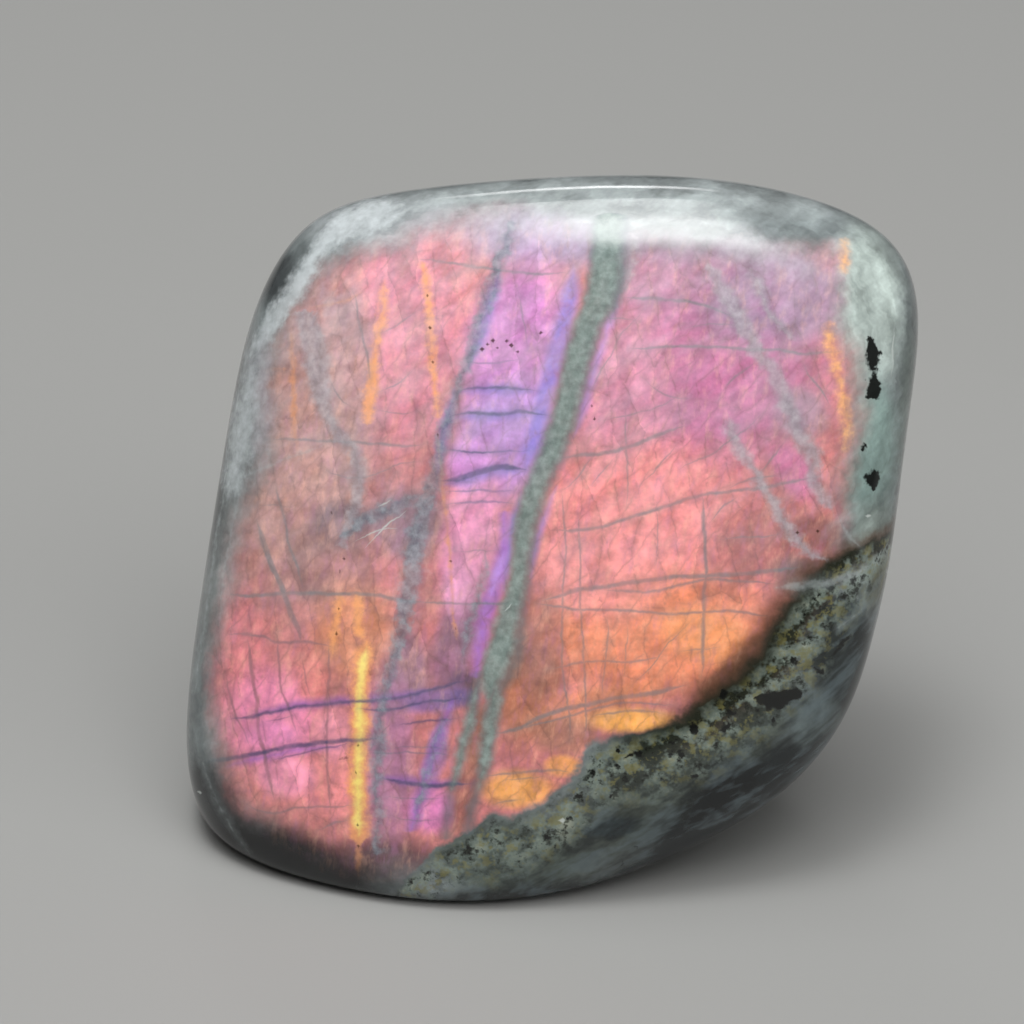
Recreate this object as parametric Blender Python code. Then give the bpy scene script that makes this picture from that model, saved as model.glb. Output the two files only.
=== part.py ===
# Polished labradorite freeform: one solid piece of stone.
#
# The stone is a rounded wedge with a broad polished face. It leans back on a flat that was sawn and
# polished across its lower end, so it stands by itself and shows the face.
#
# World frame: +Z up, the sawn foot lies in z = 0, the face looks towards -Y, and the origin is the
# middle of the bounding box at the table.
#
# Face frame, in which the shape is worked out: U to the right, V up along the face, W out of the face.
# Its origin is the middle of the face outline, half way through the rim.

import bmesh
import bpy
import math
import numpy as np
from mathutils import Matrix, Vector

MM = 0.001

# How the face frame stands over the table
FACE_LEAN = math.radians(28.0)
RIM_HEIGHT = 26.8 * MM

# The rim seen square to the face, clockwise from the right, as (U, V) in millimetres. At the lower left
# it is the rim of the stone before its foot was sawn off.
OUTLINE = [
    (31.4, 0.0),
    (29.8, -8.1),
    (26.5, -17.1),
    (18.6, -25.2),
    (7.1, -31.0),
    (-4.5, -36.0),
    (-16.2, -38.2),
    (-27.1, -33.6),
    (-33.7, -26.4),
    (-35.4, -18.0),
    (-34.3, -7.0),
    (-32.5, 4.4),
    (-30.6, 15.4),
    (-28.1, 24.1),
    (-23.1, 31.0),
    (-14.6, 33.7),
    (-3.2, 34.7),
    (9.0, 34.9),
    (20.2, 33.5),
    (30.0, 29.5),
    (33.7, 22.0),
    (32.8, 11.2),
]
# Places at which the smooth rim is worked out between one of those points and the next
RIM_STEPS = 32

# Depths of the face and of the back, measured from the rim. The back is thinner towards the top, and
# the right side of the rim lies further forward than the left.
FACE_DEPTH = 13.0 * MM
BACK_DEPTH = 21.0 * MM
BACK_TAPER = 0.30
RIM_SKEW = 0.17

# How square the shoulder between face and rim is: 2 is an ellipse, 4 is nearly a slab
FACE_SHOULDER = 3.1
BROAD_SHOULDER = 2.3
BROAD_SHOULDER_ANGLE = math.radians(-38.0)
BACK_SHOULDER = 2.6

# The sawn foot: the depth of the point towards which it is cut, how far its edge is rounded as a share
# of the distance to that point, and how far it lies round from the back of the stone
FOOT_CENTRE_DEPTH = -5.0 * MM
FOOT_ROUNDING = 0.10
FOOT_TURN = math.radians(-55.0)

# Grid of squares on each side of the starting cube, the angle past which the foot never reaches, and the
# number of times that it is halved to find the foot's edge
CUBE_SQUARES = 26
FOOT_LIMIT = math.radians(120.0)
HALVINGS = 24

STONE_COLOUR = (0.215, 0.235, 0.225, 1.0)
STONE_ROUGHNESS = 0.12


def clear_scene():
    for thing in list(bpy.data.objects):
        bpy.data.objects.remove(thing, do_unlink=True)


def read_rim():
    """Angles and distances, from the middle of the face, along one closed cubic spline through OUTLINE."""
    start = np.array(OUTLINE) * MM
    end = np.roll(start, -1, axis=0)
    here = np.eye(len(OUTLINE))
    # Slopes with which the bend, too, runs on from one stretch into the next
    bend = 4 * here + np.roll(here, 1, axis=1) + np.roll(here, -1, axis=1)
    leave = np.linalg.solve(bend, 3 * (end - np.roll(start, 1, axis=0)))
    arrive = np.roll(leave, -1, axis=0)
    t = np.linspace(0, 1, RIM_STEPS, endpoint=False)[:, None, None]
    rim = (
        (2 * t**3 - 3 * t**2 + 1) * start
        + (t**3 - 2 * t**2 + t) * leave
        + (3 * t**2 - 2 * t**3) * end
        + (t**3 - t**2) * arrive
    ).reshape(-1, 2)
    angles = np.arctan2(rim[:, 1], rim[:, 0])
    order = np.argsort(angles)
    return angles[order], np.hypot(rim[:, 0], rim[:, 1])[order]


RIM_ANGLES, RIM_DISTANCES = read_rim()


def outline_radius(angle):
    """Distance from the middle of the face to the rim."""
    return float(np.interp(angle, RIM_ANGLES, RIM_DISTANCES, period=2 * math.pi))


def shoulder(angle, facing_front):
    """The section's exponent on this side of the stone. The lower right has a broad, soft shoulder."""
    if not facing_front:
        return BACK_SHOULDER
    nearness = max(0.0, math.cos(angle - BROAD_SHOULDER_ANGLE)) ** 4
    return FACE_SHOULDER + (BROAD_SHOULDER - FACE_SHOULDER) * nearness


def body_point(direction):
    """The point of the uncut stone, in the face frame, that lies in this direction from its middle."""
    across = math.hypot(direction.x, direction.y)
    angle = math.atan2(direction.y, direction.x)
    power = shoulder(angle, direction.z > 0)
    reach = (across**power + abs(direction.z) ** power) ** (1 / power)
    radius = outline_radius(angle) * across / reach
    u = radius * math.cos(angle)
    v = radius * math.sin(angle)
    if direction.z > 0:
        depth = FACE_DEPTH
    else:
        depth = BACK_DEPTH - BACK_TAPER * v
    w = depth * direction.z / reach + RIM_SKEW * u
    return Vector((u, v, w))


def stand_up():
    """The face frame's place over the table, before the stone is centred."""
    face_to_table = Matrix.Rotation(math.radians(90.0) - FACE_LEAN, 4, "X")
    return Matrix.Translation((0.0, 0.0, RIM_HEIGHT)) @ face_to_table


def downward(polar, azimuth):
    """A direction in the face frame, given by its angle from the foot's and the turn about that."""
    across = math.sin(polar)
    spot = Vector((across * math.cos(azimuth), across * math.sin(azimuth), -math.cos(polar)))
    return Matrix.Rotation(FOOT_TURN, 3, "X") @ spot


def foot_edge(azimuth, to_world):
    """The angle from straight down at which the uncut body rises through the table."""
    below, above = 0.0, FOOT_LIMIT
    for _ in range(HALVINGS):
        middle = (below + above) / 2
        if (to_world @ body_point(downward(middle, azimuth))).z < 0:
            below = middle
        else:
            above = middle
    return below


def spread(corner, to_world):
    """The direction of one point of the starting cube, whose underside is spread over the sawn part."""
    azimuth = math.atan2(corner.y, corner.x)
    polar = math.atan2(math.hypot(corner.x, corner.y), -corner.z)
    cube_edge = math.atan(1 / max(abs(math.cos(azimuth)), abs(math.sin(azimuth))))
    sawn_edge = foot_edge(azimuth, to_world)
    if polar <= cube_edge:
        polar *= sawn_edge / cube_edge
    else:
        polar = math.pi - (math.pi - polar) * (math.pi - sawn_edge) / (math.pi - cube_edge)
    return downward(polar, azimuth)


def saw_foot(point, middle):
    """Draws a point that lies below the table back towards the middle, onto z = 0, with a rounded edge."""
    reach = (middle.z - point.z) / middle.z
    overlap = max(0.0, FOOT_ROUNDING - abs(reach - 1))
    share = max(1.0, reach) + overlap**2 / (4 * FOOT_ROUNDING)
    sawn = middle + (point - middle) / share
    if reach >= 1 + FOOT_ROUNDING:
        sawn.z = 0.0
    return sawn


def stone_mesh():
    shape = bmesh.new()
    bmesh.ops.create_cube(shape, size=2.0)
    bmesh.ops.subdivide_edges(shape, edges=shape.edges[:], cuts=CUBE_SQUARES - 1, use_grid_fill=True)
    to_world = stand_up()
    middle = to_world @ Vector((0.0, 0.0, FOOT_CENTRE_DEPTH))
    for vertex in shape.verts:
        vertex.co = saw_foot(to_world @ body_point(spread(vertex.co, to_world)), middle)
    xs = [vertex.co.x for vertex in shape.verts]
    ys = [vertex.co.y for vertex in shape.verts]
    centre = Vector(((min(xs) + max(xs)) / 2, (min(ys) + max(ys)) / 2, 0.0))
    face_origin = (to_world.translation - centre) / MM
    print("face frame's origin in the world, mm", [round(c, 2) for c in face_origin])
    for vertex in shape.verts:
        vertex.co -= centre
    bmesh.ops.recalc_face_normals(shape, faces=shape.faces[:])
    mesh = bpy.data.meshes.new("stone")
    shape.to_mesh(mesh)
    shape.free()
    mesh.shade_smooth()
    return mesh


def stone_material():
    material = bpy.data.materials.new("polished labradorite")
    material.use_nodes = True
    surface = material.node_tree.nodes["Principled BSDF"]
    surface.inputs["Base Color"].default_value = STONE_COLOUR
    surface.inputs["Roughness"].default_value = STONE_ROUGHNESS
    surface.inputs["Metallic"].default_value = 0.0
    return material


def main():
    clear_scene()
    collection = bpy.data.collections.new("labradorite freeform")
    bpy.context.scene.collection.children.link(collection)
    stone = bpy.data.objects.new("stone", stone_mesh())
    stone.data.materials.append(stone_material())
    collection.objects.link(stone)


main()
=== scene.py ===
import math

import bpy
from mathutils import Matrix, Vector


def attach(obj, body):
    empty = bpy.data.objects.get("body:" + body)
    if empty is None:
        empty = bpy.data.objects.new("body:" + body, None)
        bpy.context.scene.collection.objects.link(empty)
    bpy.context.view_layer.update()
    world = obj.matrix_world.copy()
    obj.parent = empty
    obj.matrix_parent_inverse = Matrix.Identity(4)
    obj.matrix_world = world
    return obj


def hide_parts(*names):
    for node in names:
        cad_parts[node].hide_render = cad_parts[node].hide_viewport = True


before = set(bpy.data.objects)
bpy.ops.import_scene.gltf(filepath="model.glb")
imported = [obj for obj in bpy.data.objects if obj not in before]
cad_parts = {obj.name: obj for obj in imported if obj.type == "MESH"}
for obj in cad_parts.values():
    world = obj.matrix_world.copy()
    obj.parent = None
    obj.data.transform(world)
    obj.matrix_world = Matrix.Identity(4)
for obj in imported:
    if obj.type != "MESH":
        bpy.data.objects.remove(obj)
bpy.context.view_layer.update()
mm = 0.001

# The polished face leans back. All markings are placed on it in millimetres: u to the right, v up along
# the face and w out of it, from the middle of the face.
face = {
    "origin": Vector((0.83, -0.45, 26.8)),   # in the frame, mm
    "lean": 28.0,                            # back from upright, degrees
    "skew": 0.17,                            # how much further forward the right side of the rim lies
    "radius": 30.0,                          # mm, roughly
}
faceTurn = Matrix.Rotation(math.radians(90 - face["lean"]), 3, "X")


def linearColour(hexColour):
    channels = [int(hexColour[i:i + 2], 16) / 255 for i in (1, 3, 5)]
    return [c / 12.92 if c <= 0.04045 else ((c + 0.055) / 1.055) ** 2.4 for c in channels] + [1.0]


def addNode(tree, kind, inputs=(), output=0, **settings):
    # Adds one node, sets it, fills or links its inputs, and gives back one of its outputs. The inputs are
    # a list in their order, or a dictionary where some stay as they are.
    node = tree.nodes.new("ShaderNode" + kind)
    for name, value in settings.items():
        setattr(node, name, value)
    for socket, value in inputs.items() if isinstance(inputs, dict) else enumerate(inputs):
        if isinstance(value, bpy.types.NodeSocket):
            tree.links.new(value, node.inputs[socket])
        elif isinstance(value, str):
            node.inputs[socket].default_value = linearColour(value)
        else:
            node.inputs[socket].default_value = value
    return node.outputs[output]


# Settings that come back: a mix of two colours, and a soft start and end of a range
ofColours = {"output": 2, "data_type": "RGBA"}
timesColour = {**ofColours, "blend_type": "MULTIPLY"}
softly = {"interpolation_type": "SMOOTHSTEP"}


def splitVector(tree, vector):
    # Its three numbers, each as a dot product. Separate XYZ takes a colour, and the hidden change of type
    # would be worked out after everything else, while hundreds of values wait for it. A number becomes a
    # colour by Combine Color for the same reason.
    return [addNode(tree, "VectorMath", [vector, axis], output=1, operation="DOT_PRODUCT")
            for axis in ((1, 0, 0), (0, 1, 0), (0, 0, 1))]


def startMaterial(name):
    material = bpy.data.materials.new(name)
    material.use_nodes = True
    return material, material.node_tree, material.node_tree.nodes["Principled BSDF"]


# The stone's shape: the solid's faces, made finer and smooth
stonePiece = {
    "name": "labradorite_stone",
    "mergeDistance": 0.02 * mm,
    "flatter": math.radians(40),             # two triangles that meet at less than this make one face
    "squarer": math.radians(60),             # if its corners are within this of square
    "smoothing": 2,                          # halvings of the solid's faces, 2.5 mm down to 0.6 mm
}

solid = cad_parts["stone"]
bpy.ops.object.select_all(action="DESELECT")
solid.select_set(True)
bpy.context.view_layer.objects.active = solid
bpy.ops.object.duplicate()
stone = bpy.context.view_layer.objects.active
stone.name = stonePiece["name"]
stone.data.name = stonePiece["name"]
for tag in [key for key in stone.keys() if key.startswith("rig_")]:
    del stone[tag]
bpy.ops.object.mode_set(mode="EDIT")
bpy.ops.mesh.select_all(action="SELECT")
bpy.ops.mesh.remove_doubles(threshold=stonePiece["mergeDistance"])
bpy.ops.mesh.tris_convert_to_quads(face_threshold=stonePiece["flatter"],
                                   shape_threshold=stonePiece["squarer"])
bpy.ops.object.mode_set(mode="OBJECT")
smoother = stone.modifiers.new("finer faces", "SUBSURF")
smoother.levels = smoother.render_levels = stonePiece["smoothing"]
bpy.ops.object.modifier_apply(modifier=smoother.name)
bpy.ops.object.shade_smooth()
stone.data.materials.clear()
print("stone shape: faces", len(stone.data.polygons))


# Where a point of the stone lies on the face
def setCurve(curve, points, handle="AUTO"):
    # the first and last points are there already
    curve.points[0].location = points[0]
    curve.points[1].location = points[-1]
    for x, y in points[1:-1]:
        curve.points.new(x, y)
    for point in curve.points:
        point.handle_type = handle


def polarTrack(outline):
    # distance from the middle of the face at each angle, running on past the half turn on both sides
    track = sorted((math.degrees(math.atan2(v, u)), math.hypot(u, v)) for u, v in outline)
    before = (track[-1][0] - 360, track[-1][1])
    after = (track[0][0] + 360, track[0][1])
    return [before] + track + [after]


outlines = {
    "rim": [
        (31.4, 0), (29.8, -8.1), (26.5, -17.1), (18.6, -25.2), (7.1, -31), (-4.5, -36), (-16.2, -38.2),
        (-27.1, -33.6), (-33.7, -26.4), (-35.4, -18), (-34.3, -7), (-32.5, 4.4), (-30.6, 15.4),
        (-28.1, 24.1), (-23.1, 31), (-14.6, 33.7), (-3.2, 34.7), (9, 34.9), (20.2, 33.5), (30, 29.5),
        (33.7, 22), (32.8, 11.2),
    ],
    # where the play of colour ends at the rim, softly
    "flash": [
        (26.6, 27.4), (25.8, 24), (25.4, 20), (26.8, 17.5), (27.3, 14), (27.7, 11), (26.6, 8), (26, 5),
        (26, 2), (25, -1.5), (27, -6), (26, -16), (14, -24), (2, -31), (-8, -30.4), (-13, -30.2),
        (-16, -30.2), (-19.5, -29.8), (-23.5, -28), (-26.8, -26.2), (-29.2, -25), (-30.5, -22.5),
        (-31.2, -20), (-32, -16), (-32, -12), (-31.5, -8), (-30.6, -4), (-30, 0), (-29.3, 3),
        (-28, 5.5), (-27, 8), (-27, 11), (-27.2, 15), (-26, 19.5), (-23.8, 23.6), (-20.5, 26.4),
        (-15.5, 27.6), (-12, 29.4), (-8, 30.6), (-3, 30.8), (1.5, 29.6), (7, 28), (13, 27.4),
        (19, 27), (23.5, 27.2),
    ],
    # where the play of colour breaks off sharply at the speckled corner
    "speckled": [
        (45, 12), (34, 3), (26.2, -.6), (24.4, -1.8), (22.6, -3.4), (21, -5.4), (19.6, -7.6),
        (18.6, -10), (16.8, -11.6), (15, -13), (13, -14.6), (11, -15.8), (8.2, -16.9), (6.4, -17.2),
        (4.9, -17.3), (3.9, -18.1), (3, -17.9), (2.2, -19.7), (1.9, -20.7), (1, -21.5), (-.2, -22.6),
        (-1.6, -23.8), (-3.4, -24.7), (-4.4, -25.3), (-5.4, -24.7), (-6.4, -24.7), (-8, -26),
        (-9.2, -27), (-10.4, -27.7), (-11.6, -28.6), (-12.6, -29.6), (-14, -31), (-18, -36),
        (-40, -50), (-60, 0), (0, 60), (60, 60),
    ],
}


# Nothing in the stone runs quite true: veins wander a little, and ragged edges wander more
stray = {
    "size": 2.0,                             # mm, the largest bends
    "reach": {"fine": 0.6, "ragged": 1.8},   # mm, from one side to the other
    "grains": 1.15,                          # to a mm
    "behind": (-1.5, 2.5),                   # mm in front of the rim, where the markings start and are full
}


def facePlace(tree):
    # sockets that give a point's place on the face, in millimetres, and the noises that all markings share
    uvw = addNode(tree, "Mapping", {
        "Vector": addNode(tree, "TexCoord", output=3),
        "Location": face["origin"] * mm,
        "Rotation": (math.radians(90 - face["lean"]), 0, 0),
        "Scale": (mm, mm, mm),
    }, vector_type="TEXTURE")
    across, up, out = splitVector(tree, uvw)
    wander = addNode(tree, "TexNoise", {
        "Vector": uvw, "Scale": 1 / stray["size"], "Detail": 3.0, "Roughness": 0.64,
    }, output=1)
    place = {"uvw": uvw, "wander": wander, "kept": {}}
    drift = addNode(tree, "SeparateColor", [wander]).node.outputs
    for name, reach in stray["reach"].items():
        moved = {}
        for letter, start, channel in (("u", across, drift[0]), ("v", up, drift[1])):
            centred = addNode(tree, "Math", [start, reach / 2], operation="SUBTRACT")
            moved[letter] = addNode(tree, "Math", [channel, reach, centred], operation="MULTIPLY_ADD")
        moved["spot"] = addNode(tree, "CombineXYZ", [moved["u"], moved["v"]])
        place[name] = moved
    # the third channel of the same noise says where strokes break up
    place["patchy"] = drift[2]
    place["present"] = addNode(tree, "MapRange", [place["patchy"], 0.42, 0.56])
    grit = addNode(tree, "TexNoise", {
        "Vector": uvw, "Scale": stray["grains"], "Detail": 3.0, "Roughness": 0.6,
    })
    place["grain"] = addNode(tree, "MapRange", [grit, 0.25, 0.75, -1.0, 1.0], clamp=False)
    place["mottle"] = addNode(tree, "MapRange", [grit, 0.34, 0.66])

    forward = addNode(tree, "Math", [across, -face["skew"], out], operation="MULTIPLY_ADD")
    place["front"] = addNode(tree, "MapRange", [forward, *stray["behind"]], **softly)

    # distances in from the three outlines, along the line to the middle of the face
    ragged = place["ragged"]
    radius = addNode(tree, "VectorMath", [ragged["spot"]], output=1, operation="LENGTH")
    turn = addNode(tree, "Math", [ragged["v"], ragged["u"]], operation="ARCTAN2")
    degrees = addNode(tree, "Math", [turn, 180 / math.pi], operation="MULTIPLY")
    outer = addNode(tree, "VectorCurve", {1: addNode(tree, "CombineXYZ", [degrees] * 3)})
    mapping = outer.node.mapping
    mapping.use_clip = False
    for curve, name in zip(mapping.curves, ("rim", "flash", "speckled")):
        setCurve(curve, polarTrack(outlines[name]), "VECTOR")
    mapping.update()
    radius = addNode(tree, "CombineXYZ", [radius] * 3)
    inwards = addNode(tree, "VectorMath", [outer, radius], operation="SUBTRACT")
    place["fromRim"], place["inFlash"], place["beforeSpeckles"] = splitVector(tree, inwards)
    place["heading"] = addNode(tree, "VectorMath", [ragged["spot"]], operation="NORMALIZE")
    return place


# Drawn strokes: veins, bands and streaks
def runOf(stroke, blur, below, longestTaper):
    # A flat stroke runs along u and a steep one along v. Gives which, the track of its middle line, and
    # its half width along the run, which falls this far below zero past both ends.
    halfWidth, points = stroke
    rise = abs(points[-1][1] - points[0][1])
    reach = abs(points[-1][0] - points[0][0])
    steep = rise > reach
    track = sorted((p[1], p[0]) + p[2:] if steep else p for p in points)
    length = sum(math.dist(a[:2], b[:2]) for a, b in zip(track, track[1:]))
    slant = length / max(rise, reach)
    start, end = track[0][0], track[-1][0]
    span = end - start
    fade = max(0.15, 0.6 * below)
    if len(track[0]) == 3:
        widths = [(p[0], p[2] * slant) for p in track]
        widths = [(start - fade, -below)] + widths + [(end + fade, -below)]
    else:
        taper = min(longestTaper, 0.4 * span)
        half = halfWidth * slant
        widths = [(start - fade, -below), (start, -0.3 * blur), (start + taper, half),
                  (end - taper, half), (end, -0.3 * blur), (end + fade, -below)]
    # both ends run straight on for a little, so that the next stroke of the same curve doesn't bend them
    middle = [p[:2] for p in track]
    for near, far, step in ((track[0], track[1], -0.3), (track[-1], track[-2], 0.3)):
        slope = (far[1] - near[1]) / (far[0] - near[0])
        middle.append((near[0] + step, near[1] + step * slope))
    return steep, sorted(middle), widths


def packRuns(runs, longest):
    # strokes whose runs don't meet share one curve, if together they are no longer than this
    curves = []
    for run in sorted(runs, key=lambda run: run[1][0][0]):
        for strip in curves:
            clear = min(run[i][0][0] - strip[-1][i][-1][0] for i in (0, 1))
            if clear > 0.1 and run[1][-1][0] - strip[0][1][0][0] < longest:
                strip.append(run)
                break
        else:
            curves.append([run])
    return [[[p for run in strip for p in run[i]] for i in (0, 1)] for strip in curves]


def strokeMask(tree, place, look):
    # Three curves of strokes share one set of nodes, in X, Y and Z. How far a point lies from the middle
    # line is taken from the half width, and what is left becomes the mask.
    blur, spread, grain = look["blur"], look.get("spread", 0.0), look.get("grain", 0.0)
    below = max(blur, spread) + grain
    runs = {"v": [], "u": []}
    for stroke in look["strokes"]:
        steep, middle, widths = runOf(stroke, blur, below, look.get("taper", 2.5))
        runs["v" if steep else "u"].append((middle, widths))
    curves = [(letter, *curve) for letter in runs
              for curve in packRuns(runs[letter], look.get("longest", 80))]
    edge = place[look.get("edge", "fine")]
    total = None
    for first in range(0, len(curves), 3):
        bundle = curves[first:first + 3]
        while len(bundle) < 3:
            # an empty curve fills the set
            letter, track, widths = bundle[-1]
            bundle.append((letter, track, [(widths[0][0], -below), (widths[-1][0], -below)]))
        letters = "".join(letter for letter, track, widths in bundle)
        sides = letters.translate(str.maketrans("uv", "vu"))
        for three in (letters, sides):
            if three not in edge:
                # u or v in each of X, Y and Z, such as "uuv"
                edge[three] = addNode(tree, "CombineXYZ", [edge[letter] for letter in three])
        middle = addNode(tree, "VectorCurve", {1: edge[letters]})
        width = addNode(tree, "VectorCurve", {1: edge[letters]})
        for node, part, handle in ((middle.node, 1, "AUTO"), (width.node, 2, "VECTOR")):
            node.mapping.use_clip = False
            for curve, run in zip(node.mapping.curves, bundle):
                setCurve(curve, run[part], handle)
            node.mapping.update()
        away = addNode(tree, "VectorMath", [
            addNode(tree, "VectorMath", [edge[sides], middle], operation="SUBTRACT"),
        ], operation="ABSOLUTE")
        inside = addNode(tree, "VectorMath", [width, away], operation="SUBTRACT")
        if total is None:
            total = inside
        else:
            total = addNode(tree, "VectorMath", [total, inside], operation="MAXIMUM")
    deepest, *others = splitVector(tree, total)[:len(curves)]
    for part in others:
        deepest = addNode(tree, "Math", [deepest, part], operation="MAXIMUM")
    if grain:
        deepest = addNode(tree, "Math", [place["grain"], grain, deepest], operation="MULTIPLY_ADD")
    mask = addNode(tree, "MapRange", [deepest, -blur, blur, 0.0, look["strength"]], **softly)
    if spread:
        # a weak wide shadow on both sides
        shadow = addNode(tree, "MapRange", [deepest, -spread, blur, 0.0, look["shade"]], **softly)
        mask = addNode(tree, "Math", [mask, shadow], operation="MAXIMUM")
    broken = look.get("broken")
    if broken:
        if broken not in place["kept"]:
            place["kept"][broken] = addNode(tree, "Math", [
                place["present"], broken, 1 - broken,
            ], operation="MULTIPLY_ADD")
        mask = addNode(tree, "Math", [mask, place["kept"][broken]], operation="MULTIPLY")
    return mask


def paintStrokes(tree, under, place, look, colour=None):
    # lays one kind of stroke over the colour so far
    colour = colour or look["colour"]
    if isinstance(colour, tuple):
        colour = addNode(tree, "Mix", {0: place["mottle"], 6: colour[0], 7: colour[1]}, **ofColours)
    return addNode(tree, "Mix", {0: strokeMask(tree, place, look), 6: under, 7: colour}, **ofColours)


def paintPatches(tree, under, edge, patches):
    # Soft oval patches: middle u and v, half sizes, turn in degrees, colour, strength. Each is a third as
    # strong at its half size, and ends at 1.3 times that.
    for u, v, halfU, halfV, turn, colour, strength in patches:
        ball = addNode(tree, "TexGradient", [edge["spot"]], output=1, gradient_type="SPHERICAL")
        oval = ball.node.texture_mapping
        oval.vector_type = "TEXTURE"
        oval.translation = (u, v, 0)
        oval.rotation = (0, 0, math.radians(turn))
        oval.scale = (1.3 * halfU, 1.3 * halfV, 1)
        mask = addNode(tree, "MapRange", [ball, 0.0, 0.58, 0.0, strength], **softly)
        under = addNode(tree, "Mix", {0: mask, 6: under, 7: colour}, **ofColours)
    return under


# What is on the face

# Play of colour: rose and coral in the middle, magenta above, orange below, hot pink at the lower left
flashBase = "#d4817f"
flashPatches = [
    (-24, 9, 8, 15, 0, "#c0938a", .9),
    (-14, 19, 6, 11, 0, "#e28e9e", .9),
    (-19.5, 16, 3, 9, 0, "#c8a29f", .75),
    (-14, 2, 4, 3.5, 0, "#8f7a88", .75),
    (-20, 2, 3, 2.4, 0, "#75646c", .8),
    (-14, -11.6, 2.6, 4, 0, "#86748a", .7),
    (-21, -2, 5, 4, 0, "#a37a78", .7),
    (0, 29, 9, 3.5, 0, "#ab98ba", .9),
    (14, 16, 11, 9, 0, "#c0709a", .9),
    (-4, 18, 4.5, 9, -12, "#d48ace", .9),
    (-4.8, 10, 4.5, 6, -8, "#c094dc", .85),
    (-8, 1, 2.6, 8, -10, "#f09cc2", .9),
    (-8, 7.4, 2.2, 2.4, 0, "#e49cea", .75),
    (20, 23, 8, 5, 0, "#9a7896", .9),
    (12, 27.5, 6, 2, 0, "#c4b2cc", .7),
    (6, 14, 5, 8, 0, "#e092aa", .8),
    (8, 3, 10, 7, 0, "#f69492", .9),
    (22.2, 12, 2.6, 2.4, 0, "#a892a0", .7),
    (20, 1, 6, 3.2, 0, "#b26a64", .75),
    (23.6, 1.2, 2.4, 1.8, 0, "#8a4a42", .85),
    (9, -8, 12, 6, 0, "#f8946a", .95),
    (21.6, 6.8, 3, 1.7, -55, "#dc7cac", .75),
    (23, -3, 3.4, 2, -30, "#6c5c58", .8),
    (13.6, -8.2, 4.4, 2.6, -15, "#ffa468", .85),
    (4, -2, 6, 5, 0, "#ffa09c", .75),
    (-2.8, -13, 3.4, 6, 0, "#b57454", .85),
    (-1.6, -8.5, 2, 5, 0, "#b07468", .75),
    (18.6, -9.6, 3.4, 2, 35, "#84523e", .8),
    (15.5, -12, 3.4, 1.2, 38, "#6e4632", .8),
    (4, -14.3, 6, 1.6, 12, "#e8905e", .7),
    (7, -16, 4.4, 1.2, 0, "#ffb45c", .95),
    (-3.6, -22.4, 3.4, 1.8, 0, "#ffb160", .95),
    (1, -17.4, 3, 2, 0, "#a8765c", .7),
    (.6, -20.2, 1.8, 1, 0, "#ffad62", .9),
    (-18.8, -8, 4, 4.6, 0, "#dc9068", .8),
    (-30, -12, 3.4, 6.5, 0, "#e8868c", .9),
    (-26.6, -16.4, 4.8, 5, 0, "#ff98bc", .9),
    (-22, -22.4, 5, 2.8, 0, "#ff9c9c", .85),
    (-26.6, -17.6, 2.6, 1.3, 0, "#ff9ccc", .9),
    (-25.2, -21.6, 2.8, 2, 0, "#ffa2be", .9),
    (-20.6, -17.4, 1.8, 2.6, 0, "#ffa4b2", .8),
    (-22.6, -12.6, 1.8, 2.2, 0, "#f08c84", .7),
    (-15.4, -20, 2.4, 9, 0, "#b87e9c", .9),
    (-11.6, -24.4, 2.4, 2.2, 0, "#f28ec8", .95),
    (-8.4, -13, 1.5, 1.9, 0, "#564658", .85),
    # the next two, near black at the bottom left, are painted shade where the underside turns down from the
    # light
    (-26, -30, 9, 4, -14, "#120c0d", .98),
    (-15, -30, 6, 3, -6, "#4a2e35", .9),
    (-11, -14.2, 3.4, 1.2, 8, "#7d68ac", .7),
    (-9.4, -9, 2, 5, -12, "#86688a", .7),
    (-8.4, -23, 1, 4, -12, "#a8685e", .9),
    (-7.2, -17.6, 1, 3.4, -8, "#a06e5c", .9),
    (-11, -19, 1, 3.4, -12, "#9472b4", .6),
    (-9, -3.6, 1.5, 2.6, 0, "#ffb0d8", .9),
    (10, 24.5, 6, 3.5, 0, "#b9809f", .75),
]

# Pale rim round it, milky above and at the left, bluish green at the right; below it is dark clear stone,
# darkened further with painted shade where the underside turns down from the light
rimBase = "#8b9394"
rimPatchesAndShade = [
    (-31, -3, 4, 9, 0, "#8b8f8e", .8),
    (-29.5, 13, 2.5, 9, 0, "#a0a4a5", .8),
    (-15, 30.5, 9, 2.8, 0, "#acb2b4", .9),
    (5, 32, 22, 2.6, 0, "#a8b0b0", .8),
    (28.6, 22, 3.4, 8, 0, "#b9c6c0", .95),
    (28.4, 9, 3.2, 7, 0, "#8aa09a", .95),
    (32.6, 12, 1.2, 8, 0, "#7d8a84", .7),
    (29.5, -1, 3, 5, 0, "#97a39c", .9),
    (26, -6.4, 2.4, 1.8, 0, "#2a363b", .9),
    (-34, 8, 2.3, 9, 8, "#141517", .97),
    (-28, 27, 3, 5, 35, "#3e4244", .85),
    # from here on mostly the underside: dark clear stone, with painted shade where the bottom and lower
    # right turn down from the light
    (-33, -25, 4, 5, 25, "#363738", .9),
    (-4, -29, 8, 4, 0, "#525d56", .9),
    (12, -20, 16, 6, 38, "#3e453d", .95),
    (17, -25, 15, 4.5, 36, "#141b1d", .97),
    (27.5, -12, 4, 9, 22, "#242c2c", .95),
    (-2, -34, 14, 2.8, 6, "#101414", .97),
    (15.5, -23.4, 4.4, 2.2, 38, "#0f1314", .95),
    (24, -16.2, 2.6, 3.4, 30, "#647070", .85),
    (24, -20, 6, 1.6, 42, "#0e1215", .75),
    (5, -26, 3.2, .9, 10, "#2f3b3f", .85),
    (-25, -30, 11, 4.4, -10, "#100f10", .97),
    (29.8, -3.2, .9, 2.6, -22, "#6a6648", .8),
    (9.5, -22.8, 2.6, 1.2, 0, "#66716a", .7),
]

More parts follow.
